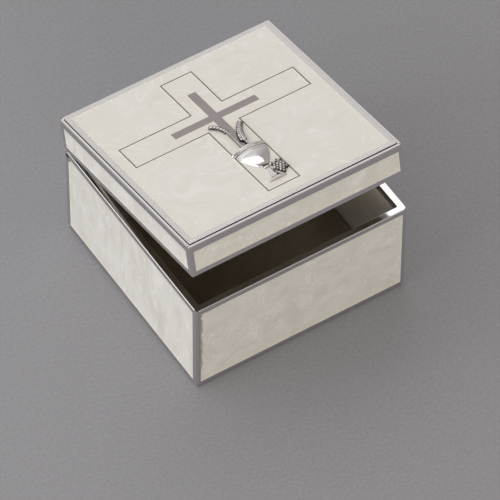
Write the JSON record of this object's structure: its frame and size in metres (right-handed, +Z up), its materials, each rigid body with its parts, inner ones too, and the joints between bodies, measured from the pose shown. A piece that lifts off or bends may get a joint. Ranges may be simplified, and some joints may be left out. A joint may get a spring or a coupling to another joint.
{
  "type": "rosary box",
  "caption": "Square hinged keepsake box of polished metal with pearly enamel panels, a cross and a chalice in relief on the lid.",
  "frame": {"origin": "centre of the underside, on the surface that the box stands on", "axes": "+Z up, +Y towards the hinge at the back, +X to the right; the front face looks towards -Y"},
  "size_m": [0.089, 0.0921, 0.0742],
  "materials": {
    "nickel": "polished nickel plate on a cast body",
    "enamel": "pearly ivory enamel with faint swirls",
    "velvet": "dark velvet",
    "felt": "black felt",
    "steel": "plain steel wire",
    "wire": "darkened wire, flush with the enamel",
    "satin_nickel": "satin nickel, flush with the enamel"
  },
  "bodies": {
    "body": {"body_shell": "nickel", "front_enamel": "enamel", "back_enamel": "enamel", "left_enamel": "enamel", "right_enamel": "enamel", "floor_pad": "velvet", "base_pad": "felt", "body_hinge_barrel": "nickel", "hinge_pin": "steel"},
    "lid": {"lid_frame": "nickel", "lid_front_enamel": "enamel", "lid_back_enamel": "enamel", "lid_left_enamel": "enamel", "lid_right_enamel": "enamel", "lid_hinge_barrels": "nickel", "top_plaque": "nickel", "field_enamel": "enamel", "cross_outline": "wire", "cross_enamel": "enamel", "metal_cross": "satin_nickel", "chalice": "nickel", "left_wheat_ear": "nickel", "right_wheat_ear": "nickel", "grape_cluster": "nickel"}
  },
  "joints": [
    {"name": "lid_hinge", "type": "hinge", "parent": "body", "child": "lid", "pos_m": [0, 0.04265, 0.04115], "axis": [-1, 0, 0], "range_deg": [-11.3, 84.7]}
  ]
}
